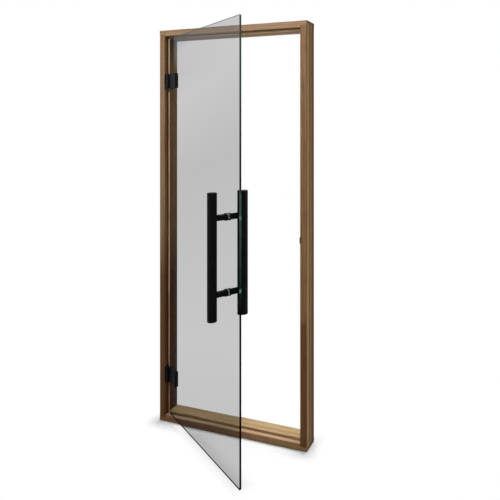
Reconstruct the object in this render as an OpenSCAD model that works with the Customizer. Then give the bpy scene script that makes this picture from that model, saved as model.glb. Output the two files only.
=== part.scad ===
// Sauna door: a rebated timber frame with a frameless tinted glass leaf.
// Millimetres. +X along the frame's width, -Y towards the side the leaf opens to, +Z up.
// Origin: centre of the sill's underside.

/* [Frame] */
// Overall width of the frame
frame_w = 770; // [640:10:900]
// Overall height of the frame
frame_h = 1890; // [1790:10:2090]
// Depth of the frame through the wall
frame_d = 88; // [80:1:110]
// Width of a member's front face
face_w = 30; // [28:1:40]
// How far the stop stands in past the front face
stop_step = 12; // [12:1:18]
// Depth of the rebate that takes the leaf
rebate_d = 25; // [25:1:32]
// How far a jamb is housed into the rails
housing_d = 11; // [6:1:14]
// Small chamfer on the members' long edges
edge_ease = 1.5; // [0.5:0.1:2.5]

/* [Outer grooves] */
// Distance of the first lining groove from the front face
groove_y = 31; // [28:1:45]
// Distance between the two lining grooves
groove_pitch = 30; // [20:1:36]
// Width of a lining groove
groove_w = 5; // [3:0.5:8]
// Depth of a lining groove
groove_depth = 4; // [2:0.5:8]

/* [Leaf] */
// Angle by which the leaf stands open
leaf_angle = 31.3; // [0:0.1:110]
// Thickness of the glass
glass_t = 8; // [8:0.5:10]
// Gap between the glass edge and the rebate's side
side_gap = 8; // [8:0.5:9]
// Gap between the glass and the sill's rebate
bottom_gap = 5; // [5:0.5:8]
// Gap between the glass and the head rail's rebate
top_gap = 8; // [5:0.5:9]
// Distance of the closed glass behind the frame's front face
glass_recess = 10; // [8:0.5:10]
// Radius of the glass corners
glass_corner_r = 4; // [2:0.5:12]
// Polished arris round the glass
glass_arris = 1; // [0.5:0.1:1.5]

/* [Hinges] */
// Height of the lower hinge's middle above the frame's foot
low_hinge_rise = 229; // [180:1:400]
// Distance of the upper hinge's middle below the frame's top
high_hinge_drop = 247; // [180:1:400]
// Height of a hinge
hinge_h = 70; // [60:1:80]
// Length of a clamp plate over the glass
clamp_l = 84; // [60:1:95]
// Thickness of a clamp plate
clamp_t = 6; // [5:0.5:6]
// Chamfer round a clamp plate's outer face
clamp_ease = 0.8; // [0.4:0.1:1.5]
// Thickness of a clamp gasket
gasket_t = 1; // [0.5:0.25:1.5]
// Distance of the pin from the glass edge, along the glass
pin_in = 10; // [8:0.5:12]
// Distance of the pin in front of the glass
pin_fore = 12; // [12:0.5:14]
// Diameter of the hinge pin
pin_dia = 8; // [6:0.5:9]
// Radius of a hinge knuckle
knuckle_r = 8; // [7.5:0.25:8.5]
// Height of the split between the knuckles above the hinge's middle
split_rise = 4; // [-6:1:8]
// Thickness of the bracket's screw plate
bracket_t = 3; // [2:0.5:3]
// How far the screw plate stands out in front of the frame
bracket_proud = 4; // [2:0.5:6]

/* [Handles] */
// Diameter of a handle tube
tube_dia = 38; // [30:1:40]
// Length of a handle tube
tube_l = 500; // [420:10:600]
// Wall thickness of a handle tube
tube_wall = 2; // [1.5:0.5:3]
// Height of the handles' middle above the frame's foot
handle_rise = 916; // [800:1:1000]
// Distance of the handles' middle from the glass's free edge
handle_inset = 102; // [80:1:140]
// Distance between a tube's middle and the glass face
handle_reach = 64; // [50:1:80]
// Distance between the two standoffs of a tube
standoff_pitch = 300; // [240:10:360]
// Diameter of a standoff
standoff_dia = 25; // [20:1:28]
// Diameter of the collar at the glass
collar_dia = 30; // [28:1:36]
// Length of the collar at the glass
collar_l = 8; // [5:0.5:10]
// Thickness of the washer between collar and glass
washer_t = 1.5; // [1:0.25:2]
// Diameter of the rod through the glass
rod_dia = 8; // [6:0.5:10]
// Diameter of the set screw's bore in a standoff
set_bore_dia = 5; // [3:0.5:6]

/* [Catch] */
// Height of the catch's middle above the frame's foot
catch_rise = 918; // [800:1:1100]
// Height of the catch block
catch_h = 26; // [18:1:40]
// Width of the catch block
catch_w = 12; // [8:0.5:14]
// Depth of the catch block's pocket in the stop
catch_depth = 18; // [10:1:30]
// How far the catch block stands out of the stop
catch_proud = 2; // [1:0.5:2.5]

/* [Hidden] */
$fn = 64;
over = 1;
y_front = -frame_d / 2;
y_stop = y_front + rebate_d;
x_left = -frame_w / 2;
x_right = frame_w / 2;
stop_w = face_w + stop_step;
jamb_foot_z = face_w - housing_d;
jamb_l = frame_h - 2 * jamb_foot_z;

glass_x0 = x_left + face_w + side_gap;
glass_x1 = x_right - face_w - side_gap;
glass_z0 = face_w + bottom_gap;
glass_z1 = frame_h - face_w - top_gap;
glass_y0 = y_front + glass_recess;
glass_y1 = glass_y0 + glass_t;

low_hinge_z = low_hinge_rise;
high_hinge_z = frame_h - high_hinge_drop;
pin_x = glass_x0 + pin_in;
pin_y = glass_y0 - pin_fore;
bore_slack = 0.1;
seat_slack = 0.04;
ring_t = 1;
ring_inset = 0.5;
knuckle_gap = 3.5;
blind_end = 3;
pin_end_gap = 0.5;
bracket_back = 1;
web_t = 10;
plate_x0 = pin_x - knuckle_r;
plate_x1 = glass_x0 + clamp_l;
stop_clear = 6;
inner_plate_x0 = x_left + stop_w + stop_clear;
lap_x0 = pin_x + knuckle_r + knuckle_gap;
screw_dia = 5;
screw_head_dia = 10;
screw_head_h = 3;
screw_inset = 16;
screw_rise = 20;
screw_blind = 4.5;
glass_hole_dia = 8;
wood_screw_dia = 4.5;
wood_screw_head_dia = 9;
wood_screw_y = 9;
wood_screw_rise = 24;

handle_x = glass_x1 - handle_inset;
rod_hole_slack = 2;
tube_end_t = 3;
end_ease = 0.8;
set_bore_back = 9;
catch_ease = 1;

// Places closed-leaf geometry at the leaf's opening angle.
module on_leaf()
{
    translate([pin_x, pin_y, 0]) rotate([0, 0, -leaf_angle])
    translate([-pin_x, -pin_y, 0]) children();
}

// Box from one corner to the other with its upright and level edges chamfered at y0 and y1.
module eased_slab(x0, x1, y0, y1, z0, z1, e0, e1)
{
    intersection()
    {
        translate([0, 0, z0]) linear_extrude(height = z1 - z0)
        polygon([[x0 + e0, y0], [x1 - e0, y0], [x1, y0 + e0], [x1, y1 - e1],
            [x1 - e1, y1], [x0 + e1, y1], [x0, y1 - e1], [x0, y0 + e0]]);
        translate([x0, 0, 0]) rotate([90, 0, 90]) linear_extrude(height = x1 - x0)
        polygon([[y0, z0 + e0], [y0 + e0, z0], [y1 - e1, z0], [y1, z0 + e1],
            [y1, z1 - e1], [y1 - e1, z1], [y0 + e0, z1], [y0, z1 - e0]]);
    }
}

// Cross-section of a member: first value runs in from the wall side, second back from the front.
module member_profile(grooved)
{
    e = edge_ease;
    difference()
    {
        polygon([[e, 0], [face_w - e, 0], [face_w, e], [face_w, rebate_d],
            [stop_w - e, rebate_d], [stop_w, rebate_d + e], [stop_w, frame_d - e],
            [stop_w - e, frame_d], [e, frame_d], [0, frame_d - e], [0, e]]);
        if (grooved)
            for (y = [groove_y, groove_y + groove_pitch])
                translate([-over, y]) square([groove_depth + over, groove_w]);
    }
}

// Upright on the hinge side, housed into both rails.
module jamb_bar()
{
    translate([x_left, y_front, jamb_foot_z])
    linear_extrude(height = jamb_l) member_profile(true);
}

// Space a jamb takes up in a rail.
module jamb_housing()
{
    translate([x_left - over, y_front - over, jamb_foot_z])
    cube([face_w + over, rebate_d + over, frame_h]);
    translate([x_left - over, y_stop - over, jamb_foot_z])
    cube([stop_w + over, frame_d, frame_h]);
}

// Horizontal member, full width, notched at both ends for the jambs.
module rail_bar(grooved)
{
    difference()
    {
        translate([x_left, y_front, 0])
        rotate([90, 0, 90]) linear_extrude(height = frame_w)
        mirror([1, -1]) member_profile(grooved);
        jamb_housing();
        mirror([1, 0, 0]) jamb_housing();
    }
}

module sill_rail()
{
    color("SaddleBrown") rail_bar(false);
}

module head_rail()
{
    color("SaddleBrown")
    translate([0, 0, frame_h]) mirror([0, 0, 1]) rail_bar(true);
}

module hinge_jamb()
{
    color("Sienna") jamb_bar();
}

module latch_jamb()
{
    color("Sienna")
    difference()
    {
        mirror([1, 0, 0]) jamb_bar();
        catch_pocket();
    }
}

// Recess in the latch jamb's stop that holds the catch block.
module catch_pocket()
{
    translate([x_right - stop_w - over, y_stop - over, catch_rise - catch_h / 2])
    cube([catch_w - catch_proud + over, catch_depth + over, catch_h]);
}

// Catch block, standing a little out of the stop's front and side.
module latch_catch()
{
    x0 = x_right - stop_w - catch_proud;
    color("DimGray")
    eased_slab(x0, x0 + catch_w, y_stop - catch_proud, y_stop + catch_depth,
        catch_rise - catch_h / 2, catch_rise + catch_h / 2, catch_ease, 0);
}

// Frame side of a hinge: screw plate in the rebate, carrying the lower knuckle.
module hinge_bracket(z)
{
    side_x = x_left + face_w;
    knuckle_h = hinge_h / 2 + split_rise - ring_t;
    plate_y0 = y_front - bracket_proud;
    color("DimGray")
    difference()
    {
        union()
        {
            translate([side_x, plate_y0, z - hinge_h / 2])
            cube([bracket_t, y_stop - bracket_back - plate_y0, hinge_h]);
            translate([side_x, plate_y0, z - hinge_h / 2])
            cube([pin_x - side_x, web_t, knuckle_h]);
            translate([pin_x, pin_y, z - hinge_h / 2])
            cylinder(r = knuckle_r, h = knuckle_h);
        }
        translate([pin_x, pin_y, z - hinge_h / 2 + blind_end])
        cylinder(d = pin_dia + seat_slack, h = hinge_h);
        for (side = [-1, 1])
            translate([side_x - over, y_front + wood_screw_y + over, z + side * wood_screw_rise])
            rotate([0, 90, 0])
            {
                cylinder(d = wood_screw_dia, h = bracket_t + 2 * over);
                translate([0, 0, over])
                cylinder(d1 = wood_screw_dia, d2 = wood_screw_head_dia, h = bracket_t + 0.01);
            }
    }
}

// Pin standing in the bracket's knuckle and reaching up into the leaf's knuckle.
module hinge_pin(z)
{
    color("Silver")
    translate([pin_x, pin_y, z - hinge_h / 2 + blind_end])
    cylinder(d = pin_dia, h = hinge_h - 2 * blind_end - pin_end_gap);
}

// Bearing ring between the two knuckles.
module hinge_washer(z)
{
    color("WhiteSmoke")
    translate([pin_x, pin_y, z + split_rise - ring_t])
    difference()
    {
        cylinder(r = knuckle_r - ring_inset, h = ring_t);
        translate([0, 0, -over]) cylinder(d = pin_dia + bore_slack, h = ring_t + 2 * over);
    }
}

// The two clamp screws' bores, from y0 over a length h.
module clamp_bores(z, y0, h, dia)
{
    for (side = [-1, 1])
        translate([plate_x1 - screw_inset, y0, z + side * screw_rise])
        rotate([-90, 0, 0]) cylinder(d = dia, h = h);
}

// Leaf side of a hinge: outer plate carrying the upper knuckle, with blind screw bores.
module clamp_outer_plate(z)
{
    y1 = glass_y0 - gasket_t;
    y0 = y1 - clamp_t;
    z0 = z - hinge_h / 2;
    knuckle_h = hinge_h / 2 - split_rise;
    color("DimGray") on_leaf()
    difference()
    {
        union()
        {
            eased_slab(plate_x0, plate_x1, y0, y1, z0, z0 + hinge_h, clamp_ease, 0);
            translate([pin_x, pin_y, z + split_rise]) cylinder(r = knuckle_r, h = knuckle_h);
            translate([plate_x0, pin_y, z + split_rise])
            cube([2 * knuckle_r, y1 - pin_y, knuckle_h]);
        }
        translate([plate_x0 - over, y0 - over, z0 - over])
        cube([lap_x0 - plate_x0 + over, clamp_t + 2 * over, hinge_h / 2 + split_rise + over]);
        translate([pin_x, pin_y, z0]) cylinder(d = pin_dia + bore_slack, h = hinge_h - blind_end);
        clamp_bores(z, y1 - screw_blind, screw_blind + over, screw_dia);
    }
}

// Inner plate with countersunk bores for the clamp screws.
module clamp_inner_plate(z)
{
    y0 = glass_y1 + gasket_t;
    y1 = y0 + clamp_t;
    color("DimGray") on_leaf()
    difference()
    {
        eased_slab(inner_plate_x0, plate_x1, y0, y1,
            z - hinge_h / 2, z + hinge_h / 2, 0, clamp_ease);
        clamp_bores(z, y0 - over, clamp_t + 2 * over, screw_dia);
        for (side = [-1, 1])
            translate([plate_x1 - screw_inset, y1 - screw_head_h, z + side * screw_rise])
            rotate([-90, 0, 0])
            cylinder(d1 = screw_dia, d2 = screw_head_dia, h = screw_head_h + 0.01);
    }
}

// Flat sheet between a clamp plate and the glass.
module clamp_gasket(x0, y0, z)
{
    color("Black") on_leaf()
    difference()
    {
        translate([x0, y0, z - hinge_h / 2]) cube([plate_x1 - x0, gasket_t, hinge_h]);
        clamp_bores(z, y0 - over, gasket_t + 2 * over, screw_dia);
    }
}

module clamp_outer_gasket(z)
{
    clamp_gasket(lap_x0, glass_y0 - gasket_t, z);
}

module clamp_inner_gasket(z)
{
    clamp_gasket(inner_plate_x0, glass_y1, z);
}

// Toughened glass pane with rounded corners, polished arrises and its fixing bores.
module glass_leaf()
{
    r = glass_corner_r;
    a = glass_arris;
    color("SlateGray", 0.5) on_leaf()
    difference()
    {
        intersection()
        {
            eased_slab(glass_x0, glass_x1, glass_y0, glass_y1, glass_z0, glass_z1, a, a);
            translate([0, glass_y1 + over, 0]) rotate([90, 0, 0])
            linear_extrude(height = glass_t + 2 * over) union()
            {
                translate([glass_x0 + r, glass_z0])
                square([glass_x1 - glass_x0 - 2 * r, glass_z1 - glass_z0]);
                translate([glass_x0, glass_z0 + r])
                square([glass_x1 - glass_x0, glass_z1 - glass_z0 - 2 * r]);
                for (x = [glass_x0 + r, glass_x1 - r], z = [glass_z0 + r, glass_z1 - r])
                    translate([x, z]) circle(r = r);
            }
        }
        for (level = [-1, 1])
            translate([handle_x, glass_y0 - over, rod_z(level)])
            rotate([-90, 0, 0]) cylinder(d = rod_dia + rod_hole_slack, h = glass_t + 2 * over);
        clamp_bores(low_hinge_z, glass_y0 - over, glass_t + 2 * over, glass_hole_dia);
        clamp_bores(high_hinge_z, glass_y0 - over, glass_t + 2 * over, glass_hole_dia);
    }
}

// side is -1 on the opening side and 1 on the inside; level is -1 low and 1 high.
function face_y(side) = side < 0 ? glass_y0 : glass_y1;
function tube_y(side) = face_y(side) + side * handle_reach;
function rod_z(level) = handle_rise + level * standoff_pitch / 2;

// Upright handle tube, closed and eased at both ends.
module handle_tube(side)
{
    r = tube_dia / 2;
    bore_r = r - tube_wall;
    color("DimGray") on_leaf()
    translate([handle_x, tube_y(side), handle_rise - tube_l / 2])
    difference()
    {
        rotate_extrude()
        polygon([[0, 0], [r - end_ease, 0], [r, end_ease], [r, tube_l - end_ease],
            [r - end_ease, tube_l], [0, tube_l]]);
        translate([0, 0, tube_end_t]) cylinder(r = bore_r, h = tube_l - 2 * tube_end_t);
    }
}

// Round standoff, saddled to the tube, with its collar, rod bore and set screw bore.
module standoff(side, level)
{
    reach = handle_reach - washer_t;
    color("DimGray") on_leaf()
    translate([handle_x, tube_y(side), rod_z(level)])
    rotate([side * 90, 0, 0])
    difference()
    {
        union()
        {
            cylinder(d = standoff_dia, h = reach);
            translate([0, 0, reach - collar_l]) cylinder(d = collar_dia, h = collar_l);
        }
        rotate([90, 0, 0]) cylinder(d = tube_dia, h = 2 * tube_dia, center = true);
        translate([0, 0, reach - rod_seat()])
        cylinder(d = rod_dia + seat_slack, h = rod_seat() + over);
        translate([0, 0, reach - collar_l - set_bore_back])
        rotate([0, 90, 0]) cylinder(d = set_bore_dia, h = standoff_dia);
    }
}

// Depth to which the rod enters a standoff.
function rod_seat() = (handle_reach - washer_t) / 2;

// Thin washer between a collar and the glass.
module glass_washer(side, level)
{
    y0 = side < 0 ? glass_y0 - washer_t : glass_y1;
    color("LightGray") on_leaf()
    translate([handle_x, y0, rod_z(level)]) rotate([-90, 0, 0])
    difference()
    {
        cylinder(d = collar_dia, h = washer_t);
        translate([0, 0, -over]) cylinder(d = rod_dia + rod_hole_slack, h = washer_t + 2 * over);
    }
}

// Rod that joins the outer and inner standoffs through the glass.
module handle_rod(level)
{
    end_y = washer_t + rod_seat();
    color("Silver") on_leaf()
    translate([handle_x, glass_y0 - end_y, rod_z(level)]) rotate([-90, 0, 0])
    cylinder(d = rod_dia, h = glass_t + 2 * end_y);
}

sill_rail();
head_rail();
hinge_jamb();
latch_jamb();
hinge_bracket(low_hinge_z);  // lower_hinge_bracket
hinge_bracket(high_hinge_z);  // upper_hinge_bracket
hinge_pin(low_hinge_z);  // lower_hinge_pin
hinge_pin(high_hinge_z);  // upper_hinge_pin
hinge_washer(low_hinge_z);  // lower_hinge_washer
hinge_washer(high_hinge_z);  // upper_hinge_washer
latch_catch();
glass_leaf();
clamp_outer_plate(low_hinge_z);  // lower_clamp_outer_plate
clamp_outer_plate(high_hinge_z);  // upper_clamp_outer_plate
clamp_inner_plate(low_hinge_z);  // lower_clamp_inner_plate
clamp_inner_plate(high_hinge_z);  // upper_clamp_inner_plate
clamp_outer_gasket(low_hinge_z);  // lower_clamp_outer_gasket
clamp_outer_gasket(high_hinge_z);  // upper_clamp_outer_gasket
clamp_inner_gasket(low_hinge_z);  // lower_clamp_inner_gasket
clamp_inner_gasket(high_hinge_z);  // upper_clamp_inner_gasket
handle_tube(-1);  // outer_handle_tube
handle_tube(1);  // inner_handle_tube
standoff(-1, -1);  // outer_low_standoff
standoff(-1, 1);  // outer_high_standoff
standoff(1, -1);  // inner_low_standoff
standoff(1, 1);  // inner_high_standoff
glass_washer(-1, -1);  // outer_low_washer
glass_washer(-1, 1);  // outer_high_washer
glass_washer(1, -1);  // inner_low_washer
glass_washer(1, 1);  // inner_high_washer
handle_rod(-1);  // low_handle_rod
handle_rod(1);  // high_handle_rod
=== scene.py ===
import logging
import math
from collections.abc import Callable
from dataclasses import dataclass, field
from enum import Enum

import bpy
import numpy as np
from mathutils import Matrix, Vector


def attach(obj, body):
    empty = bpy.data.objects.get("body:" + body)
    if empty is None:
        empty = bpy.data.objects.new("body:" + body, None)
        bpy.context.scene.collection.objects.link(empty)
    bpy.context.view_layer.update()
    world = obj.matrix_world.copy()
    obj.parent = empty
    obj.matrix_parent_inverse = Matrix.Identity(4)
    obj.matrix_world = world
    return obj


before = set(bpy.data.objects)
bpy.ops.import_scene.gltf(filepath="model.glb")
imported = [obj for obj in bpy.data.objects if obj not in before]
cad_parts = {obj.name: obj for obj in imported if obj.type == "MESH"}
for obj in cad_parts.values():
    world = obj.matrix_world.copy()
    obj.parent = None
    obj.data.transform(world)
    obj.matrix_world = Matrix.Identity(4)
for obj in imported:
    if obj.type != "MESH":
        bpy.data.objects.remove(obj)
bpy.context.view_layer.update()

# Looks of the sauna door: a rebated timber frame with a tinted glass leaf. Metres, in the frame
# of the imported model. The leaf's own pieces are worked out on the closed leaf and then turned.

log = logging.getLogger("sauna_door")

Colour = tuple[float, float, float]
Point = tuple[float, float, float]
Pair = tuple[float, float]
Ramp = tuple[tuple[float, Colour], ...]

HALF_WIDTH, HALF_DEPTH, HEIGHT = 0.385, 0.044, 1.890  # of the frame
FACE, STOP, REBATE = 0.030, 0.042, 0.025  # a member's front, its whole width and its rebate's depth
RAMP_FROM, RAMP_SPAN = -0.5, 2.5  # the distances that a colour ramp can cover
SHARP_EDGE = math.radians(35.0)
SCREW_SINK = 0.0001  # how far a screw's head lies under the face it sits in


def srgb(red: float, green: float, blue: float) -> Colour:
    """Turns a display colour into a linear one.

    Args:
        red: Red, 0 to 255.
        green: Green, 0 to 255.
        blue: Blue, 0 to 255.

    Returns:
        The three linear values, 0 to 1.
    """
    shown = np.array([red, green, blue]) / 255.0
    low = shown / 12.92
    high = ((shown + 0.055) / 1.055) ** 2.4
    return tuple(float(v) for v in np.where(shown <= 0.04045, low, high))


class Body(Enum):
    """The two bodies that pieces ride on."""

    FRAME = "frame"
    LEAF = "leaf"


class Slot(Enum):
    """The record's material slots of the pieces made here."""

    HINGE_METAL = "hinge_metal"
    HANDLE_METAL = "handle_metal"


class Member(Enum):
    """The kinds of the frame's members."""

    JAMB = "jamb"
    HEAD = "head"
    SILL = "sill"


# Shader maths


def arithmetic(operation: str, reflected: bool = False) -> Callable[["Signal", "Number"], "Signal"]:
    """Makes the method of one operator on two numbers.

    Args:
        operation: What its Math node does.
        reflected: Whether the other number comes first.

    Returns:
        The method.
    """

    def method(signal: "Signal", other: "Number") -> "Signal":
        """Adds the operator's Math node."""
        first, second = (other, signal) if reflected else (signal, other)
        return signal.combine(operation, first, second)

    return method


class Signal:
    """A number on a node's output socket, which arithmetic turns into Math nodes."""

    def __init__(self, shade: "Shade", socket: bpy.types.NodeSocket) -> None:
        """Wraps a socket of a shade's node tree."""
        self.shade = shade
        self.socket = socket

    def combine(self, operation: str, first: "Number", second: "Number" = 0.0) -> "Signal":
        """Adds one Math node and returns its result."""
        return self.shade.signal("ShaderNodeMath", {"operation": operation}, {0: first, 1: second})

    __add__, __radd__ = arithmetic("ADD"), arithmetic("ADD", True)
    __sub__, __rsub__ = arithmetic("SUBTRACT"), arithmetic("SUBTRACT", True)
    __mul__, __rmul__ = arithmetic("MULTIPLY"), arithmetic("MULTIPLY", True)
    __truediv__, __rtruediv__ = arithmetic("DIVIDE"), arithmetic("DIVIDE", True)
    least, most = arithmetic("MINIMUM"), arithmetic("MAXIMUM")

    def __abs__(self) -> "Signal":
        """Distance from zero."""
        return self.combine("ABSOLUTE", self)

    def root(self) -> "Signal":
        """Square root."""
        return self.combine("SQRT", self)

    def part(self) -> "Signal":
        """What is left after the whole number below it."""
        return self.combine("FRACT", self)

    def rise(self, start: float, end: float) -> "Signal":
        """Smooth step from 0 at start to 1 at end."""
        return self.shade.signal(
            "ShaderNodeMapRange",
            {"interpolation_type": "SMOOTHSTEP"},
            {"Value": self, "From Min": start, "From Max": end},
        )


Number = Signal | float


class Shade:
    """The node tree of a material or of the world, with the few calls that build it."""

    def __init__(self, owner: bpy.types.Material | bpy.types.World) -> None:
        """Takes over the owner's node tree and empties it."""
        self.owner = owner
        owner.use_nodes = True
        self.tree = owner.node_tree
        self.tree.nodes.clear()

    @classmethod
    def named(cls, name: str) -> "Shade":
        """Starts a new material of that name."""
        return cls(bpy.data.materials.new(name))

    def node(self, kind: str, settings: dict | None = None, inputs: dict | None = None) -> bpy.types.Node:
        """Adds a node.

        Args:
            kind: The node's type.
            settings: Properties of the node, set first. "stops" holds a ramp's (place, colour) pairs.
            inputs: Values or links of its sockets, by name or number.

        Returns:
            The new node.
        """
        made = self.tree.nodes.new(kind)
        for name, setting in (settings or {}).items():
            if name == "stops":
                self._set_stops(made.color_ramp, setting)
            else:
                setattr(made, name, setting)
        for name, value in (inputs or {}).items():
            self._feed(made.inputs[name], value)
        return made

    def _set_stops(self, ramp: bpy.types.ColorRamp, stops: list[tuple[float, Colour]]) -> None:
        """Gives a colour ramp its stops."""
        (first, first_colour), *others = stops
        ramp.elements.remove(ramp.elements[1])
        ramp.elements[0].position = first
        ramp.elements[0].color = (*first_colour, 1.0)
        for place, colour in others:
            ramp.elements.new(place).color = (*colour, 1.0)

    def _feed(self, socket: bpy.types.NodeSocket, value: object) -> None:
        """Links a socket, or sets its value."""
        if isinstance(value, Signal):
            self.tree.links.new(value.socket, socket)
        elif isinstance(value, bpy.types.NodeSocket):
            self.tree.links.new(value, socket)
        elif socket.type == "RGBA":
            socket.default_value = (*value, 1.0)
        else:
            socket.default_value = value

    def signal(self, kind: str, settings: dict | None = None, inputs: dict | None = None) -> Signal:
        """Adds a node and returns its first output as a Signal."""
        return Signal(self, self.node(kind, settings, inputs).outputs[0])

    def place(self, turn: float = 0.0, shift: Point = (0.0, 0.0, 0.0)) -> tuple[Signal, Signal, Signal]:
        """Reads where a point of the surface is.

        Args:
            turn: Angle in radians by which the place is turned about the upright axis.
            shift: What is added after turning.

        Returns:
            The three coordinates in metres.
        """
        at = self.node("ShaderNodeTexCoord").outputs["Object"]
        mapped = self.node(
            "ShaderNodeMapping", {}, {"Vector": at, "Rotation": (0.0, 0.0, turn), "Location": shift}
        )
        split = self.node("ShaderNodeSeparateXYZ", {}, {0: mapped.outputs[0]})
        return tuple(Signal(self, split.outputs[i]) for i in range(3))

    def noise(self, x: Number, y: Number, z: Number, detail: float = 2.0, rough: float = 0.5) -> Signal:
        """Soft noise, 0 to 1, at a place given in noise cells."""
        at = self.node("ShaderNodeCombineXYZ", {}, {0: x, 1: y, 2: z})
        return self.signal(
            "ShaderNodeTexNoise",
            {"noise_dimensions": "3D"},
            {"Vector": at.outputs[0], "Scale": 1.0, "Detail": detail, "Roughness": rough},
        )

    def mix(self, factor: Number, first: object, second: object, blend: str = "MIX") -> bpy.types.NodeSocket:
        """Mixes two colours, the first at factor 0 and the blend with the second at 1."""
        made = self.tree.nodes.new("ShaderNodeMix")
        made.data_type = "RGBA"
        made.blend_type = blend
        made.clamp_factor = True
        self._feed(made.inputs[0], factor)
        self._feed(made.inputs[6], first)
        self._feed(made.inputs[7], second)
        return made.outputs[2]

    def ramp(self, stops: Ramp, along: Signal) -> bpy.types.NodeSocket:
        """Runs from colour to colour along a distance in metres.

        Args:
            stops: Distances and the colours there.
            along: The distance.

        Returns:
            The colour.
        """
        placed = [((at - RAMP_FROM) / RAMP_SPAN, colour) for at, colour in stops]
        made = self.node("ShaderNodeValToRGB", {"stops": placed}, {"Fac": (along - RAMP_FROM) / RAMP_SPAN})
        return made.outputs[0]

    def levels(self, stops: tuple[Pair, ...], along: Signal) -> Signal:
        """Runs from number to number, each 0 to 1, along a distance in metres."""
        return Signal(self, self.ramp(tuple((at, (level,) * 3) for at, level in stops), along))

    def blend(self, factor: Number, first: bpy.types.Node, second: bpy.types.Node) -> bpy.types.Node:
        """Mixes two shaders, the first at factor 0 and the second at 1."""
        return self.node("ShaderNodeMixShader", {}, {0: factor, 1: first.outputs[0], 2: second.outputs[0]})

    def bump(self, height: Signal, strength: float, distance: float) -> bpy.types.NodeSocket:
        """Turns a height into a shading normal."""
        made = self.node(
            "ShaderNodeBump", {}, {"Height": height, "Strength": strength, "Distance": distance}
        )
        return made.outputs[0]

    def principled(self, inputs: dict) -> bpy.types.Node:
        """Adds a Principled shader with those inputs."""
        return self.node("ShaderNodeBsdfPrincipled", {}, inputs)

    def finish(self, shader: bpy.types.Node) -> bpy.types.Material:
        """Puts a shader on the surface and returns the material."""
        output = self.node("ShaderNodeOutputMaterial", {}, {"Surface": shader.outputs[0]})
        self.tree.nodes.active = output
        return self.owner


# Finishes


@dataclass(frozen=True)
class Streak:
    """A layer of noise drawn out along the grain.

    Attributes:
        along: Noise cells for each metre along the grain.
        across: Noise cells for each metre across it.
        rise: Noise values between which the layer comes in.
        strength: How much it tints the wood.
        offset: Cells by which the noise is moved along.
        detail: Octaves of the noise.
        rough: How much each octave keeps.
    """

    along: float
    across: float
    rise: Pair
    strength: float
    offset: float = 0.0
    detail: float = 2.0
    rough: float = 0.5

    def noise(self, shade: Shade, run: Signal, side: Signal, deep: Signal) -> Signal:
        """Adds the layer's noise at a place along, across and through the member."""
        along = run * self.along + self.offset
        return shade.noise(along, side * self.across, deep * self.across, self.detail, self.rough)


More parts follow.
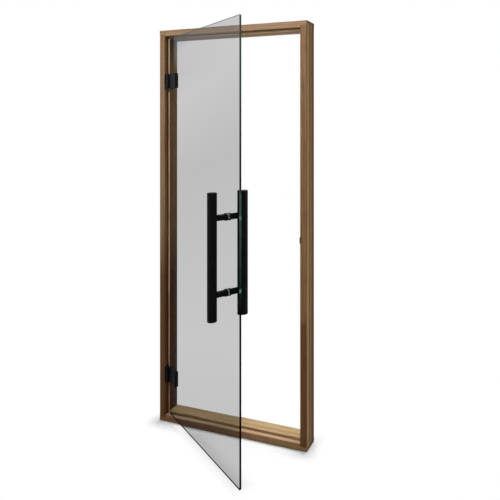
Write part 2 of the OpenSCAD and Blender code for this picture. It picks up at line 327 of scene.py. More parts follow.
@dataclass(frozen=True)
class WoodFinish:
    """Heat-treated wood, as a solid of growth rings round a pith that lies beside the member.

    Attributes:
        name: Material name.
        member: Which kind of member it is for. The grain runs along the member.
        pith: The pith's place across the grain, in metres.
        seed: Moves the noise, so that no two members match.
        early: Colour of the pale early wood.
        late: Colour of the dark late wood.
        ruddy: Colour of the warmer streaks.
        grey: Colour of the cooler, bleached streaks.
        end: Colour of the end grain and of the pores.
        tone_and_painted_shade: Places along the member, and what the colour is multiplied by there: its
            tone, and painted light and shade along it.
        front: What it is multiplied by on the member's front.
        rebate: What it is multiplied by on the rebate's side, as painted shade; on the sill, whose rebate
            floor faces up, as painted light.
        corner_shade_from: Distance from the front at which the rebate's side starts to darken with painted
            shade.
        corner: What it is multiplied by in the rebate's corner, as painted shade.
        riser: Places along the member, and what it is multiplied by on the stop's front there, which paints
            in light and shade.
        stop: Places along the member, and what it is multiplied by on the stop's side there, which paints in
            light and shade.
        outer_bands: What the outer side is multiplied by at distances from the front.
        eased: Distances round an eased edge between which its painted shade fades out.
        eased_painted_shade: What the colour is multiplied by on the eased edges, as painted shade.
        ring_pitch: Distance between two rings.
        broad: The broad warm streaks.
        cast: The bleached streaks.
        figure: The short dark streaks.
        fibre: The fine fibres.
        pore: The open pores.
    """

    name: str
    member: Member
    pith: Pair
    seed: float
    early: Colour = srgb(177, 143, 108)
    late: Colour = srgb(104, 73, 43)
    ruddy: Colour = srgb(142, 97, 60)
    grey: Colour = srgb(146, 129, 100)
    end: Colour = srgb(50, 36, 20)
    tone_and_painted_shade: Ramp = ((0.0, (1.0, 1.0, 1.0)),)
    front: Colour = (1.00, 1.00, 1.00)
    rebate: Colour = (0.84, 0.82, 0.68)
    corner_shade_from: float = 0.0030
    corner: Colour = (0.36, 0.31, 0.20)
    riser: Ramp = ((0.0, (1.85, 2.15, 2.05)),)
    stop: Ramp = ((0.0, (0.70, 0.72, 0.64)),)
    outer_bands: Ramp = (
        (0.0295, (1.04, 1.04, 0.99)), (0.0315, (0.65, 0.64, 0.52)), (0.0600, (0.65, 0.63, 0.50)),
        (0.0640, (0.37, 0.27, 0.10)),
    )
    eased: Pair = (0.0020, 0.0030)
    eased_painted_shade: Colour = (0.62, 0.58, 0.50)
    ring_pitch: float = 0.0034
    broad: Streak = Streak(1.4, 95.0, (0.45, 0.62), 0.65, rough=0.6)
    cast: Streak = Streak(0.9, 60.0, (0.48, 0.66), 0.55, offset=3.0, detail=1.0)
    figure: Streak = Streak(8.0, 120.0, (0.50, 0.72), 0.30, offset=5.0, rough=0.6)
    fibre: Streak = Streak(16.0, 950.0, (0.45, 0.75), 0.32, detail=3.0, rough=0.65)
    pore: Streak = Streak(70.0, 1500.0, (0.62, 0.72), 0.35, detail=1.0)

    def build(self) -> bpy.types.Material:
        """Makes the material.

        Ring radius = the distance from the pith, bent by slow noise. The dark line = a smooth
        rise over the ring's last half and a quick fall at its end.

        Returns:
            The finished material.
        """
        shade = Shade.named(self.name)
        x, y, z = shade.place()
        along, side, deep = (z, x, y) if self.member is Member.JAMB else (x, y, z)
        run = along + self.seed
        sway = (shade.noise(run * 1.3, side * 4.0, deep * 4.0, 1.0) - 0.5) * 0.016
        swing = (shade.noise(run * 1.1, side * 4.0 + 7.0, deep * 4.0, 1.0) - 0.5) * 0.016
        wobble = (shade.noise(run * 9.0, side * 130.0, deep * 130.0, 2.0) - 0.5) * 0.0009
        a = side - self.pith[0] + sway
        b = deep - self.pith[1] + swing
        radius = (a * a + b * b).root() + wobble
        year = (radius / self.ring_pitch).part()
        late = year.rise(0.35, 0.90) * (1.0 - year.rise(0.93, 1.0))
        vigour = shade.noise(radius * 160.0, self.seed, run * 0.4, 2.0)
        fibre = self.fibre.noise(shade, run, side, deep)
        pore = self.pore.noise(shade, run, side, deep).rise(*self.pore.rise)

        colour = shade.mix(late * (vigour + 0.35), self.early, self.late)
        for layer, tint in ((self.broad, self.ruddy), (self.cast, self.grey), (self.figure, self.late)):
            streaks = layer.noise(shade, run, side, deep).rise(*layer.rise)
            colour = shade.mix(streaks * layer.strength, colour, tint)
        colour = shade.mix(fibre.rise(*self.fibre.rise) * self.fibre.strength, colour, self.late)
        colour = shade.mix(pore * self.pore.strength, colour, self.end)
        front_to_back = y + HALF_DEPTH
        inward = self.inward(x, z)
        # Each of a member's faces has its own share, 0 to 1, which fades within a millimetre.
        on_stop = inward.rise(FACE + 0.0010, FACE + 0.0014)
        riser = on_stop * (1.0 - front_to_back.rise(REBATE + 0.0004, REBATE + 0.0008))
        stop = inward.rise(STOP - 0.0008, STOP - 0.0004) * (1.0 - riser)
        rebate = inward.rise(FACE - 0.0008, FACE - 0.0004) * (1.0 - on_stop)
        rebate = rebate * (1.0 - front_to_back.rise(REBATE, REBATE + 0.0004))
        outer = abs(x).rise(HALF_WIDTH - 0.0008, HALF_WIDTH - 0.0003)
        # Besides the wood's tone, these multipliers paint in light and shade: the ramp along the member, and
        # the rebate, its corner, the stop's side and the stop's front darken or brighten where less or more
        # light falls.
        for share, tint in (
            (1.0 - riser.most(outer * 0.75), shade.ramp(self.tone_and_painted_shade, along)),
            (1.0 - front_to_back.rise(0.0004, 0.0008), self.front),
            (rebate, self.rebate),
            (rebate * front_to_back.rise(self.corner_shade_from, REBATE - 0.0010), self.corner),
            (stop, shade.ramp(self.stop, along)),
            (riser, shade.ramp(self.riser, along)),
            (outer, shade.ramp(self.outer_bands, front_to_back)),
        ):
            colour = shade.mix(share, colour, tint, "MULTIPLY")
        if self.member is not Member.JAMB:
            end_grain = 0.45 + 0.55 * (1.0 - inward.rise(0.005, 0.011))
            colour = shade.mix(outer * end_grain, colour, self.end)
        # Painted shade: the eased edges are darkened.
        outer_edge = inward + front_to_back.least(2.0 * HALF_DEPTH - front_to_back)
        inner_edge = FACE - inward + front_to_back
        eased = 1.0 - outer_edge.least(inner_edge.most(0.0)).rise(*self.eased)
        colour = shade.mix(eased, colour, self.eased_painted_shade, "MULTIPLY")

        height = fibre * 0.5 - late * 0.35 - pore * 0.6
        return shade.finish(shade.principled({
            "Base Color": colour,
            "Roughness": 0.60 - late * 0.10 + fibre * 0.12,
            "Specular IOR Level": 0.12,
            "Normal": shade.bump(height, 0.35, 0.0004),
        }))

    def inward(self, x: Signal, z: Signal) -> Signal:
        """Distance from the member's wall side, in towards the doorway."""
        if self.member is Member.JAMB:
            return HALF_WIDTH - abs(x)
        return z if self.member is Member.SILL else HEIGHT - z


@dataclass(frozen=True)
class LeafPlace:
    """Where the open leaf stands: its pin and the angle it is turned by, from the closed place."""

    pin_x: float = -0.337
    pin_y: float = -0.046
    angle: float = math.radians(31.3)

    def open(self, points: np.ndarray) -> np.ndarray:
        """Turns points of the closed leaf about the pin.

        x' = pin + dx cos a + dy sin a and y' = pin - dx sin a + dy cos a.

        Args:
            points: Points of shape (..., 3) on the closed leaf.

        Returns:
            The same points on the open leaf.
        """
        c, s = math.cos(self.angle), math.sin(self.angle)
        dx = points[..., 0] - self.pin_x
        dy = points[..., 1] - self.pin_y
        return np.stack(
            [self.pin_x + dx * c + dy * s, self.pin_y - dx * s + dy * c, points[..., 2]], axis=-1
        )

    def closing_shift(self) -> Point:
        """What is added after turning by the angle, to bring a point back to the closed leaf."""
        c, s = math.cos(self.angle), math.sin(self.angle)
        return (
            self.pin_x - (self.pin_x * c - self.pin_y * s),
            self.pin_y - (self.pin_x * s + self.pin_y * c),
            0.0,
        )


@dataclass(frozen=True)
class GlassFinish:
    """Grey tinted toughened glass with dark ground edges.

    Attributes:
        bands: Heights and the share of light that the pane lets through there, in slanting bands, which
            paint in reflections and shade seen in the pane; they are fixed to it.
        corner_reflection_tint: What it lets through in its uppermost corner at the hinges, a painted bluish
            reflection.
        corner_reach: Heights along the bands between which that tint comes in.
        mirror: Share of light that the pane mirrors all over.
        polish: Roughness of that mirror.
        veil: Share of light that it mirrors besides at its top.
        veil_reach: Heights between which the veil comes in.
        slope: How much a band climbs for each metre across the pane.
        edge: Heights and colours of the ground edge, which paint in what the edge reflects and shows
            through.
        low_strip: Heights between which the dark strip along the foot ends.
        far_edge: Colour of the edge at the hinges.
        far_reach: Places across the pane between which that edge ends.
        free_reach: Places across the pane between which the free edge begins.
        glint: Colour that the rods' bores show in the free edge, a painted reflection.
        glint_levels: Heights of the bores.
        glint_reach: Distances from a bore's height between which its glint ends.
        shade_tint: What the pane lets through to its shadow.
        middle: The pane's middle on the closed leaf, across and up.
        half: Half its width and height.
        corner: Radius of its corners.
        arris: Width of the ground strip along the outline.
    """

    bands: tuple[Pair, ...] = (
        (0.00, 0.53), (0.50, 0.57), (1.25, 0.51), (1.60, 0.58), (1.84, 0.53),
    )
    corner_reflection_tint: Colour = (0.375, 0.405, 0.450)
    corner_reach: Pair = (1.84, 1.92)
    mirror: float = 0.004
    polish: float = 0.03
    veil: float = 0.055
    veil_reach: Pair = (1.66, 1.80)
    slope: float = 0.3
    edge: Ramp = (
        (0.70, (0.001, 0.002, 0.001)), (1.16, (0.13, 0.23, 0.18)), (1.19, (0.003, 0.010, 0.006)),
        (1.80, (0.10, 0.16, 0.15)),
    )
    low_strip: Pair = (0.0390, 0.0400)
    far_edge: Colour = (0.205, 0.180, 0.170)
    far_reach: Pair = (-0.3468, -0.3460)
    free_reach: Pair = (0.30, 0.34)
    glint: Colour = (0.160, 0.400, 0.290)
    glint_levels: Pair = (0.795, 1.074)
    glint_reach: Pair = (0.002, 0.012)
    shade_tint: Colour = (0.72, 0.73, 0.74)
    middle: Pair = (0.0, 0.9435)
    half: Pair = (0.347, 0.9085)
    corner: float = 0.004
    arris: float = 0.0018

    def build(self, place: LeafPlace) -> bpy.types.Material:
        """Makes the material.

        The distance from the pane's outline is that of a rectangle with round corners. Where it is
        less than the arris, and at the very foot, the glass is ground and dark. The light passes
        two faces, so each lets the square root of the pane's share through.

        Args:
            place: Where the leaf stands.

        Returns:
            The finished material.
        """
        shade = Shade.named("tinted_glass")
        x, _, z = shade.place(place.angle, place.closing_shift())
        over_x = abs(x - self.middle[0]) - (self.half[0] - self.corner)
        over_z = abs(z - self.middle[1]) - (self.half[1] - self.corner)
        far_x, far_z = over_x.most(0.0), over_z.most(0.0)
        outline = (far_x * far_x + far_z * far_z).root() + over_x.most(over_z).least(0.0) - self.corner
        ground = outline.rise(-1.15 * self.arris, -0.85 * self.arris)
        ground = ground.most(1.0 - z.rise(*self.low_strip))
        cloudy = shade.noise(x * 260.0, z * 40.0, 0.5, 2.0)
        # Painted reflections and shade: the slanting bands and the bluish corner set what the pane lets
        # through.
        roots = [(at, math.sqrt(share)) for at, share in self.bands]
        smoky, clear = min(root for _, root in roots), max(root for _, root in roots)
        stops = tuple((at, (root - smoky) / (clear - smoky)) for at, root in roots)
        climb = z - x * self.slope
        dim = self.see_through(shade, (smoky,) * 3)
        through = shade.blend(shade.levels(stops, climb), dim, self.see_through(shade, (clear,) * 3))
        tinted = self.see_through(shade, tuple(math.sqrt(part) for part in self.corner_reflection_tint))
        low, high = self.corner_reach
        through = shade.blend((climb - low) / (high - low), through, tinted)
        white = {"Color": (1.0, 1.0, 1.0), "Roughness": self.polish}
        mirror = shade.node("ShaderNodeBsdfAnisotropic", {}, white)
        glass = shade.blend(z.rise(*self.veil_reach) * self.veil + self.mirror, through, mirror)
        # Painted reflections: the edge's colours by height, and the glints where the rods' bores show in the
        # free edge.
        bore = abs(z - self.glint_levels[0]).least(abs(z - self.glint_levels[1]))
        dark = shade.mix(cloudy * 0.5, shade.ramp(self.edge, z), (0.0, 0.0, 0.0))
        glint = (1.0 - bore.rise(*self.glint_reach)) * x.rise(*self.free_reach)
        dark = shade.mix(glint, dark, self.glint)
        rim = shade.principled(
            {
                "Base Color": shade.mix(1.0 - x.rise(*self.far_reach), dark, self.far_edge),
                "Roughness": cloudy * 0.15 + 0.30,
                "Specular IOR Level": 0.0,
            }
        )
        pane = shade.blend(ground, glass, rim)
        shaded = shade.node("ShaderNodeBsdfTransparent", {}, {"Color": self.shade_tint})
        shadow = Signal(shade, shade.node("ShaderNodeLightPath").outputs["Is Shadow Ray"])
        return shade.finish(shade.blend(shadow, pane, shaded))

    def see_through(self, shade: Shade, share: Colour) -> bpy.types.Node:
        """Adds a smooth shader that bends light as glass does and lets that share through one face."""
        return shade.node("ShaderNodeBsdfRefraction", {}, {"Color": share, "Roughness": 0.0, "IOR": 1.5})


@dataclass(frozen=True)
class CoatedMetalFinish:
    """Black powder coat: nearly black, satin, with a faint orange-peel skin.

    Attributes:
        name: Material name.
        colour: Colour of the coat.
        dusty: Colour of the faint dust and handling marks.
        sheen: Lowest roughness.
        skin: Strength of the orange peel.
        gloss: Strength of the reflection.
    """

    name: str
    colour: Colour = srgb(15, 15, 17)
    dusty: Colour = srgb(30, 29, 30)
    sheen: float = 0.34
    skin: float = 0.10
    gloss: float = 0.03

    def build(self) -> bpy.types.Material:
        """Makes the material: slow noise for the marks, fine noise for the skin."""
        shade = Shade.named(self.name)
        x, y, z = shade.place()
        marks = shade.noise(x * 38.0, y * 38.0, z * 22.0, 3.0, 0.6)
        peel = shade.noise(x * 1100.0, y * 1100.0, z * 1100.0, 1.0)
        grit = shade.noise(x * 5200.0, y * 5200.0, z * 5200.0, 1.0)
        return shade.finish(shade.principled({
            "Base Color": shade.mix(marks.rise(0.45, 0.80) * 0.35, self.colour, self.dusty),
            "Roughness": marks * 0.12 + self.sheen,
            "Specular IOR Level": self.gloss,
            "Normal": shade.bump(peel * 0.7 + grit * 0.3, self.skin, 0.0002),
        }))


@dataclass(frozen=True)
class SteelFinish:
    """Bright turned steel with fine rings of tool marks and a few dull patches."""

    name: str = "bright_steel"
    bright: Colour = srgb(206, 204, 199)
    dull: Colour = srgb(150, 147, 142)

    def build(self) -> bpy.types.Material:
        """Makes the material: close bands along the height, and slow noise for the dull patches."""
        shade = Shade.named(self.name)
        x, y, z = shade.place()
        band = shade.noise(x * 90.0, y * 90.0, z * 4200.0, 1.0)
        patch = shade.noise(x * 300.0, y * 300.0, z * 300.0, 2.0)
        return shade.finish(shade.principled({
            "Base Color": shade.mix(patch.rise(0.45, 0.75), self.bright, self.dull),
            "Metallic": 1.0,
            "Roughness": band * 0.12 + patch * 0.14 + 0.18,
            "Normal": shade.bump(band, 0.08, 0.0001),
        }))


@dataclass(frozen=True)
class MouldedFinish:
    """Rubber or moulded plastic: a matt skin with a fine grain and slightly uneven colour."""

    name: str
    colour: Colour
    worn: Colour
    rough: float

    def build(self) -> bpy.types.Material:
        """Makes the material: fine noise for the grain, slow noise for the colour."""
        shade = Shade.named(self.name)
        x, y, z = shade.place()
        slow = shade.noise(x * 120.0, y * 120.0, z * 120.0, 2.0)
        fine = shade.noise(x * 2600.0, y * 2600.0, z * 2600.0, 2.0)
        return shade.finish(shade.principled({
            "Base Color": shade.mix(slow.rise(0.40, 0.70), self.colour, self.worn),
            "Roughness": fine * 0.15 + self.rough,
            "Specular IOR Level": 0.4,
            "Normal": shade.bump(fine, 0.12, 0.0001),
        }))


# Surfaces


def turned_mesh(name: str, points: np.ndarray) -> bpy.types.Mesh:
    """Makes a closed mesh from rings of points, with a pole at each end.

    The pole is the mean of its ring. Rings are joined by four-sided faces, and each pole to its
    ring by triangles. The faces are turned round if the volume they shut in comes out negative.

    Args:
        name: Name of the mesh.
        points: Rings of points, of shape (rings, points in a ring, 3).

    Returns:
        The mesh, with its faces pointing outwards.
    """
    rings, count, _ = points.shape
    flat = np.concatenate([points.reshape(-1, 3), points[:1].mean(axis=1), points[-1:].mean(axis=1)])
    here = np.arange(count)
    after = (here + 1) % count
    base = (np.arange(rings - 1) * count)[:, None]
    quads = np.stack(
        [base + here, base + after, base + count + after, base + count + here], axis=-1
    ).reshape(-1, 4)
    first, last = rings * count, rings * count + 1
    top = (rings - 1) * count
    fans = np.concatenate(
        [
            np.stack([np.full(count, first), after, here], axis=-1),
            np.stack([np.full(count, last), top + here, top + after], axis=-1),
        ]
    )
    halves = np.concatenate([quads[:, [0, 1, 2]], quads[:, [0, 2, 3]], fans])
    p, q, r = flat[halves[:, 0]], flat[halves[:, 1]], flat[halves[:, 2]]
    if np.einsum("ij,ij->i", p, np.cross(q, r)).sum() < 0.0:
        quads, fans = quads[:, ::-1], fans[:, ::-1]
    mesh = bpy.data.meshes.new(name)
    mesh.from_pydata(flat.tolist(), [], quads.tolist() + fans.tolist())
    mesh.update()
    return mesh


def hexagon(turn: np.ndarray, half_flat: float) -> np.ndarray:
    """Radius of a hexagon by angle: half the width across its flats over the cosine of the angle
    from the middle of the nearest flat.

    Args:
        turn: Angles in radians.
        half_flat: Half the width across the flats.

    Returns:
        The radius at each angle.
    """
    sixth = math.pi / 3.0
    return half_flat / np.cos(np.mod(turn + sixth / 2.0, sixth) - sixth / 2.0)


def thread(turn: np.ndarray, depth: np.ndarray, core: float, crest: float, pitch: float) -> np.ndarray:
    """Radius of a screw thread: the core plus a triangle wave that climbs one pitch a turn.

    Args:
        turn: Angles in radians, along the last axis.
        depth: Distances along the screw, one a ring.
        core: Radius at the thread's root.
        crest: Radius at its crest.
        pitch: Distance between two crests.

    Returns:
        The radius at each ring and angle.
    """
    phase = np.mod(depth[:, None] / pitch + turn[None, :] / (2.0 * math.pi), 1.0)
    return core + (crest - core) * (1.0 - np.abs(2.0 * phase - 1.0))


@dataclass(frozen=True)
class Screw:
    """A screw with a hexagon socket, its head's top at the origin and its shank along -w.

    Attributes:
        head_r: Radius of the head's top. The shank's own radius for a set screw.
        head_h: Height of the countersunk cone, or of the set screw's chamfer.
        shank_r: Radius of the thread's crest.
        length: Whole length.
        socket_r: Half the width across the socket's flats.
        socket_h: Depth of the socket.
        pitch: Pitch of the thread.
        point_h: Length of the point.
        point_r: Radius left at the point's end.
        columns: Points round a ring.
    """

    head_r: float
    head_h: float
    shank_r: float
    length: float
    socket_r: float
    socket_h: float
    pitch: float
    point_h: float
    point_r: float
    columns: int = 36

    def rings(self) -> np.ndarray:
        """Works out the screw's skin as rings of points.

        From the socket's floor out and up its six walls, over the head's top and down its cone,
        then along the thread, whose depth grows in and dies out, to the point.

        Returns:
            Points of shape (rings, columns, 3), with w as the third coordinate.
        """
        turn = np.linspace(0.0, 2.0 * math.pi, self.columns, endpoint=False)
        six = hexagon(turn, self.socket_r)
        round_ = np.ones(self.columns)
        ease = 0.06 * self.head_r
        head = [
            (six * 0.05, -self.socket_h - 0.25 * self.socket_r),
            (six * 0.97, -self.socket_h),
            (six, -self.socket_h + 0.1 * self.socket_r),
            (six, -0.1 * self.socket_r),
            (six * 1.06, 0.0),
            (round_ * (self.head_r - ease), 0.0),
            (round_ * self.head_r, -ease),
        ]
        root = self.shank_r - 0.6 * self.pitch
        body_end = self.length - self.point_h
        steps = int(math.ceil((body_end - self.head_h) / self.pitch * 6.0))
        depth = np.linspace(self.head_h, body_end, steps)
        grown = np.clip((depth - self.head_h) / self.pitch, 0.0, 1.0)
        cut = thread(turn, depth, root, self.shank_r, self.pitch)
        body = grown[:, None] * cut + (1.0 - grown[:, None]) * self.shank_r
        radius = np.vstack([np.array([r for r, _ in head]), body, round_[None, :] * self.point_r])
        height = np.concatenate([[h for _, h in head], -depth, [-self.length]])
        return np.stack(
            [radius * np.cos(turn), radius * np.sin(turn), np.broadcast_to(height[:, None], radius.shape)],
            axis=-1,
        )

    def standing(self, at: np.ndarray, out: np.ndarray) -> np.ndarray:
        """Puts the screw's rings in place.

        point = place + u times its first, v times its second and w times its third coordinate,
        where w is the way the head faces, and u and v complete a right-handed set.

        Args:
            at: Middle of the head's top.
            out: Unit vector that the head faces.

        Returns:
            Rings of points in place.
        """
        up = np.array([0.0, 0.0, 1.0])
        u = np.cross(up, out)
        v = np.cross(out, u)
        local = self.rings()
        return at + local[..., :1] * u + local[..., 1:2] * v + local[..., 2:] * out


# Workshop


class Workshop:
    """Makes objects and dresses nodes."""

    def __init__(self, nodes: dict[str, bpy.types.Object]) -> None:
        """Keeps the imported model's nodes."""
        self.nodes = nodes

    def dress(self, finish: bpy.types.Material, *names: str) -> None:
        """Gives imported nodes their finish."""
        for name in names:
            slots = self.nodes[name].data.materials
            slots.clear()
            slots.append(finish)
            log.info("dressed %s in %s", name, finish.name)

    def add(self, mesh: bpy.types.Mesh, finish: bpy.types.Material, body: Body, slot: Slot) -> None:
        """Adds a new piece that rides on a body.

        Args:
            mesh: The piece's mesh, in place.
            finish: Its material.
            body: The body it rides on.
            slot: The record's slot for its finish; not used.
        """
        mesh.materials.append(finish)
        piece = bpy.data.objects.new(mesh.name, mesh)
        bpy.context.scene.collection.objects.link(piece)
        mesh.shade_smooth()
        mesh.set_sharp_from_angle(angle=SHARP_EDGE)
        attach(piece, body.value)
        log.info("added %s, %d faces", piece.name, len(mesh.polygons))


# Sub-assemblies


@dataclass
class TimberFrame:
    """The four members, and the catch in the latch jamb.

    Attributes:
        hinge_jamb_painted_shade: Painted shade along the hinge jamb, darkening to its foot.
        hinge_jamb_riser_painted_light: How the front of its stop changes, lightened as painted light.
        hinge_jamb_stop_painted_shade: How the side of its stop changes, darkened as painted shade, most
            towards its foot.
        latch_jamb_darker_below: How the latch jamb's colour changes along it: darker below about 0.55 m.
        head_painted_leaf_shade: How the head's colour changes along it: painted shade of the leaf on the
            hinge side, lighter towards the latch.
        head_riser_painted_light: How the front of its stop changes, lightened as painted light.
        sill_painted_light_and_shade: How the sill's colour changes along it: painted shade where the leaf's
            foot crosses it, painted light towards the latch.
        sill_riser_light_and_shade: How the front of its stop changes: painted shade on the hinge side,
            painted light towards the latch.
    """

    hinge_jamb_painted_shade: Ramp = (
        (0.70, (0.46, 0.32, 0.18)), (0.92, (0.88, 0.88, 0.92)),
    )
    hinge_jamb_riser_painted_light: Ramp = (
        (0.10, (1.8, 2.0, 2.2)), (1.00, (2.3, 2.8, 3.1)), (1.80, (1.5, 1.7, 1.8)),
    )
    hinge_jamb_stop_painted_shade: Ramp = (
        (0.70, (0.42, 0.38, 0.32)), (1.05, (0.70, 0.68, 0.60)),
    )
    latch_jamb_darker_below: Ramp = (
        (0.55, (0.58, 0.40, 0.24)), (0.58, (0.92, 0.72, 0.50)), (1.60, (1.05, 1.05, 1.05)),
    )
    head_painted_leaf_shade: Ramp = (
        (0.00, (1.0, 1.0, 1.0)), (0.34, (1.4, 1.35, 1.4)),
    )
    head_riser_painted_light: Ramp = (
        (-0.30, (1.8, 2.0, 2.0)), (0.05, (2.0, 2.4, 2.3)),
    )
    sill_painted_light_and_shade: Ramp = (
        (0.00, (0.7, 0.7, 0.7)), (0.08, (1.0, 1.0, 1.05)), (0.33, (1.15, 1.2, 1.25)),
    )
    sill_riser_light_and_shade: Ramp = (
        (0.10, (0.95, 0.9, 0.8)), (0.33, (1.4, 1.35, 1.2)),
    )

    def dress(self, shop: Workshop) -> None:
        """Gives each member its own piece of wood.

        Args:
            shop: Where nodes are dressed.
        """
        hinge_jamb = WoodFinish(
            "wood_hinge_jamb", Member.JAMB, (-0.300, 0.110), 1.7,
            tone_and_painted_shade=self.hinge_jamb_painted_shade,
            riser=self.hinge_jamb_riser_painted_light,
            stop=self.hinge_jamb_stop_painted_shade,
        )
        latch_jamb = WoodFinish(
            "wood_latch_jamb", Member.JAMB, (0.290, 0.120), 5.3,
            early=srgb(182, 148, 110),
            tone_and_painted_shade=self.latch_jamb_darker_below,
        )
        head_rail = WoodFinish(
            "wood_head_rail", Member.HEAD, (0.110, 1.800), 9.1,
            early=srgb(196, 160, 126),
            tone_and_painted_shade=self.head_painted_leaf_shade,
            riser=self.head_riser_painted_light,
            # Painted light: the underside of the head's stop is lightened.
            stop=((0.0, (1.09, 1.24, 1.18)),),
        )
        sill_rail = WoodFinish(
            "wood_sill_rail", Member.SILL, (0.090, -0.100), 13.9,
            early=srgb(182, 147, 108),
            # Painted light and shade on the sill's faces: the stop's top and the rebate's floor lighter, the
            # rebate's corner darker.
            riser=self.sill_riser_light_and_shade,
            stop=((0.0, (1.02, 1.16, 1.14)),),
            front=(0.94, 0.86, 0.79),
            rebate=(1.12, 1.22, 1.42),
            corner_shade_from=0.0190,
            corner=(0.50, 0.47, 0.42),
            tone_and_painted_shade=self.sill_painted_light_and_shade,
        )
        for wood in (hinge_jamb, latch_jamb, head_rail, sill_rail):
            shop.dress(wood.build(), wood.name.removeprefix("wood_"))
        catch = MouldedFinish("catch_plastic", srgb(30, 28, 26), srgb(46, 42, 38), 0.42)
        shop.dress(catch.build(), "latch_catch")


@dataclass
class Hinges:
    """The two hinges: brackets, pins, clamp plates, gaskets and their screws.

    Attributes:
        levels: Heights of the hinges' middles.
        coats: The finish of each hinge: one black coat, painted darker on the lower hinge and lighter on the
            upper, as painted shade and light.
        clamp_x: Where the clamp screws stand on the closed leaf.
        clamp_y: Outer face of the inner plate on the closed leaf.
        clamp_rise: Height of a clamp screw above or below the middle.
        bracket_x: Face of the bracket's screw plate.
        bracket_y: Where the wood screws stand.
        bracket_rise: Height of a wood screw above or below the middle.
        clamp_screw: The screw through a clamp.
        wood_screw: The screw through a bracket.
    """

    levels: tuple[tuple[str, float], ...] = (("lower", 0.229), ("upper", 1.643))
    coats: dict[str, CoatedMetalFinish] = field(
        default_factory=lambda: {
            # Lit and shaded copies of one coat: painted shade on the lower hinge, painted light on the
            # upper.
            "lower": CoatedMetalFinish(
                "lower_hinge_coat", srgb(15, 15, 17), srgb(24, 24, 26), sheen=0.46, skin=0.14, gloss=0.02
            ),
            "upper": CoatedMetalFinish(
                "upper_hinge_coat", srgb(31, 31, 34), srgb(42, 41, 44), sheen=0.46, skin=0.14, gloss=0.03
            ),
        }
    )
    clamp_x: float = -0.279
    clamp_y: float = -0.019
    clamp_rise: float = 0.020
    bracket_x: float = -0.352
    bracket_y: float = -0.034
    bracket_rise: float = 0.024
    clamp_screw: Screw = Screw(0.0047, 0.0028, 0.00235, 0.0200, 0.0015, 0.0021, 0.0008, 0.0006, 0.0018)
    wood_screw: Screw = Screw(0.0042, 0.0027, 0.00205, 0.0270, 0.00125, 0.0016, 0.0018, 0.0050, 0.0002)

    def build(self, shop: Workshop, place: LeafPlace) -> None:
        """Dresses the hinges' nodes and adds their screws.

        Args:
            shop: Where nodes are dressed and pieces made.
            place: Where the leaf stands.
        """
        steel = SteelFinish("pin_steel").build()
        rubber = MouldedFinish("gasket_rubber", srgb(22, 22, 23), srgb(36, 35, 35), 0.72).build()
        ring = MouldedFinish("bearing_plastic", srgb(34, 34, 35), srgb(48, 47, 46), 0.40).build()
        for name, level in self.levels:
            coat = self.coats[name].build()
            plates = f"{name}_clamp_outer_plate", f"{name}_clamp_inner_plate"
            shop.dress(coat, f"{name}_hinge_bracket", *plates)
            shop.dress(steel, f"{name}_hinge_pin")
            shop.dress(ring, f"{name}_hinge_washer")
            shop.dress(rubber, f"{name}_clamp_outer_gasket", f"{name}_clamp_inner_gasket")
            self.add_screws(shop, place, coat, name, level)

    def add_screws(
        self, shop: Workshop, place: LeafPlace, coat: bpy.types.Material, name: str, level: float
    ) -> None:
        """Adds one hinge's two clamp screws and two wood screws.

        Args:
            shop: Where pieces are made.
            place: Where the leaf stands.
            coat: The screws' finish.
            name: Which hinge.
            level: Height of its middle.
        """
        for word, side in (("low", -1.0), ("high", 1.0)):
            at = np.array([self.clamp_x, self.clamp_y - SCREW_SINK, level + side * self.clamp_rise])
            rings = place.open(self.clamp_screw.standing(at, np.array([0.0, 1.0, 0.0])))
            shop.add(turned_mesh(f"{name}_clamp_screw_{word}", rings), coat, Body.LEAF, Slot.HINGE_METAL)
            at = np.array([self.bracket_x - SCREW_SINK, self.bracket_y, level + side * self.bracket_rise])
            rings = self.wood_screw.standing(at, np.array([1.0, 0.0, 0.0]))
            shop.add(turned_mesh(f"{name}_wood_screw_{word}", rings), coat, Body.FRAME, Slot.HINGE_METAL)


@dataclass
class Handles:
    """The pair of handle tubes with their standoffs, collars' washers, rods and set screws.

    Attributes:
        axis_x: The tubes' middle on the closed leaf.
        screw_reach: Distance of a set screw's top from that middle.
        sides: Name and set screw's depth of the outer and inner handle on the closed leaf.
        levels: Names and heights of the standoffs.
        set_screw: The screw that holds a standoff on its rod.
    """

    axis_x: float = 0.245
    screw_reach: float = 0.0112
    sides: tuple[tuple[str, float], ...] = (("outer", -0.0525), ("inner", -0.0075))
    levels: tuple[tuple[str, float], ...] = (("low", 0.766), ("high", 1.066))
    set_screw: Screw = Screw(0.0022, 0.0003, 0.00242, 0.0070, 0.00125, 0.0026, 0.0008, 0.0008, 0.0014)

    def build(self, shop: Workshop, place: LeafPlace) -> None:
        """Dresses the handles' nodes and adds the set screws.

        Args:
            shop: Where nodes are dressed and pieces made.
            place: Where the leaf stands.
        """
        coat = CoatedMetalFinish("handle_coat").build()
        steel = SteelFinish("rod_steel").build()
        washer = MouldedFinish("washer_plastic", srgb(150, 150, 152), srgb(128, 128, 130), 0.35).build()
        shop.dress(coat, "outer_handle_tube", "inner_handle_tube")
        for level, height in self.levels:
            shop.dress(steel, f"{level}_handle_rod")
            for side, depth in self.sides:
                shop.dress(coat, f"{side}_{level}_standoff")
                shop.dress(washer, f"{side}_{level}_washer")
                at = np.array([self.axis_x + self.screw_reach, depth, height])
                rings = place.open(self.set_screw.standing(at, np.array([1.0, 0.0, 0.0])))
                mesh = turned_mesh(f"{side}_{level}_set_screw", rings)
                shop.add(mesh, coat, Body.LEAF, Slot.HANDLE_METAL)


